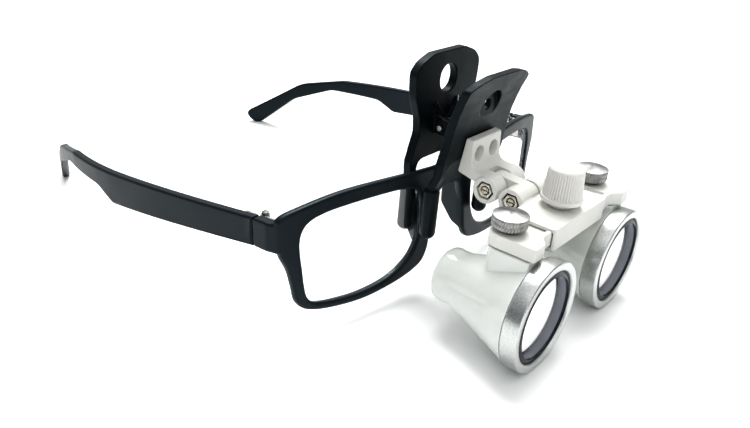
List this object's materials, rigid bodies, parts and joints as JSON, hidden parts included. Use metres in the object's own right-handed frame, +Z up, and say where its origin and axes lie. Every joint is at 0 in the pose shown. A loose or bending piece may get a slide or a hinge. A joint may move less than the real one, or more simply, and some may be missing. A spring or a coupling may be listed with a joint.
{
  "type": "dental loupes",
  "caption": "Clip-on binocular loupes on black plastic spectacles: two conical telescopes on a geared bridge that flips up on a double hinge.",
  "frame": {"origin": "middle of the bounding box in plan, on the surface the object lies on", "axes": "+Z up, -Y the way the wearer looks, +X towards the wearer's left"},
  "size_m": [0.153, 0.2132, 0.0787],
  "materials": {
    "frame_plastic": "satin black moulded plastic",
    "spectacle_lens": "clear flat lens with a faint green reflection",
    "clip_plastic": "charcoal black moulded plastic, slightly grained",
    "steel": "plain steel",
    "nickel": "nickel plated",
    "hinge_metal": "plain steel",
    "finger_rubber": "soft black rubber",
    "white_plastic": "white, semi-matte",
    "thumbscrew_metal": "bright turned metal with a knurled edge",
    "pearl_plastic": "glossy pearly white",
    "ring_aluminium": "satin silver with fine speckle",
    "black_ring": "black anodised look",
    "optical_glass": "coated optical glass"
  },
  "bodies": {
    "spectacles": {"frame_front": "frame_plastic", "lens_right": "spectacle_lens", "lens_left": "spectacle_lens", "frame_hinge_right": "hinge_metal", "frame_hinge_left": "hinge_metal", "hinge_screw_right": "hinge_metal", "hinge_screw_left": "hinge_metal"},
    "right_temple": {"temple_right": "frame_plastic", "temple_hinge_right": "hinge_metal"},
    "left_temple": {"temple_left": "frame_plastic", "temple_hinge_left": "hinge_metal"},
    "rear_jaw": {"clip_rear_jaw": "clip_plastic", "clip_pin": "steel", "clip_spring": "steel", "rear_sleeve_right": "finger_rubber", "rear_sleeve_left": "finger_rubber"},
    "front_jaw": {"clip_front_jaw": "clip_plastic", "front_sleeve_right": "finger_rubber", "front_sleeve_left": "finger_rubber", "bracket": "white_plastic", "bracket_screw_right": "steel", "bracket_screw_left": "steel", "upper_flip_bolt": "steel", "upper_flip_nut": "nickel"},
    "link": {"flip_link": "white_plastic"},
    "bridge_unit": {"bridge_housing": "white_plastic", "bridge_cover": "white_plastic", "lower_flip_bolt": "steel", "lower_flip_nut": "nickel"},
    "knob": {"adjusting_knob": "white_plastic", "pinion": "steel"},
    "right_slider": {"slider_right": "white_plastic"},
    "right_thumbscrew": {"thumbscrew_right": "thumbscrew_metal"},
    "right_telescope": {"barrel_right": "pearl_plastic", "objective_ring_right": "ring_aluminium", "objective_retainer_right": "black_ring", "objective_lens_right": "optical_glass", "eyepiece_lens_right": "optical_glass", "eyepiece_ring_right": "black_ring"},
    "left_slider": {"slider_left": "white_plastic"},
    "left_thumbscrew": {"thumbscrew_left": "thumbscrew_metal"},
    "left_telescope": {"barrel_left": "pearl_plastic", "objective_ring_left": "ring_aluminium", "objective_retainer_left": "black_ring", "objective_lens_left": "optical_glass", "eyepiece_lens_left": "optical_glass", "eyepiece_ring_left": "black_ring"}
  },
  "joints": [
    {"name": "right_temple_fold", "type": "hinge", "parent": "spectacles", "child": "right_temple", "pos_m": [-0.06685, -0.03441, 0.03413], "axis": [0, -0.0645, -0.9979], "range_deg": [0, 85]},
    {"name": "left_temple_fold", "type": "hinge", "parent": "spectacles", "child": "left_temple", "pos_m": [0.06685, -0.03441, 0.03413], "axis": [0, 0.0645, 0.9979], "range_deg": [0, 72]},
    {"name": "clip_lift", "type": "slide", "parent": "spectacles", "child": "rear_jaw", "axis": [0, 0.0645, 0.9979], "range_m": [0, 0.03]},
    {"name": "clip_squeeze", "type": "hinge", "parent": "rear_jaw", "child": "front_jaw", "pos_m": [0, -0.05156, 0.05552], "axis": [-1, 0, 0], "range_deg": [0, 18], "stiffness_Nm_per_rad": 0.15, "springref_deg": -28.65},
    {"name": "upper_flip", "type": "hinge", "parent": "front_jaw", "child": "link", "pos_m": [0, -0.07136, 0.04062], "axis": [-1, 0, 0], "range_deg": [-10, 45]},
    {"name": "lower_flip", "type": "hinge", "parent": "link", "child": "bridge_unit", "pos_m": [0, -0.08076, 0.03982], "axis": [-1, 0, 0], "range_deg": [-12, 40]},
    {"name": "right_pupil_slide", "type": "slide", "parent": "bridge_unit", "child": "right_slider", "axis": [-1, 0, 0], "range_m": [0, 0.008]},
    {"name": "left_pupil_slide", "type": "slide", "parent": "bridge_unit", "child": "left_slider", "axis": [1, 0, 0], "range_m": [0, 0.008]},
    {"name": "knob_turn", "type": "hinge", "parent": "bridge_unit", "child": "knob", "pos_m": [0, -0.09306, 0.04802], "axis": [0, 0, 1], "range_deg": [-153, 0]},
    {"name": "right_converge", "type": "hinge", "parent": "right_slider", "child": "right_telescope", "pos_m": [-0.0257, -0.09046, 0.03582], "axis": [0, 0, 1], "range_deg": [-6, 6]},
    {"name": "right_thumbscrew_turn", "type": "hinge", "parent": "right_slider", "child": "right_thumbscrew", "pos_m": [-0.0257, -0.09046, 0.04402], "axis": [0, 0, 1], "range_deg": [0, 360]},
    {"name": "left_converge", "type": "hinge", "parent": "left_slider", "child": "left_telescope", "pos_m": [0.0257, -0.09046, 0.03582], "axis": [0, 0, 1], "range_deg": [-6, 6]},
    {"name": "left_thumbscrew_turn", "type": "hinge", "parent": "left_slider", "child": "left_thumbscrew", "pos_m": [0.0257, -0.09046, 0.04402], "axis": [0, 0, 1], "range_deg": [0, 360]}
  ],
  "couplings": [
    {"joint": "left_pupil_slide", "follows": "right_pupil_slide", "ratio": 1},
    {"joint": "knob_turn", "follows": "right_pupil_slide", "rad_per_m": -333.33}
  ]
}
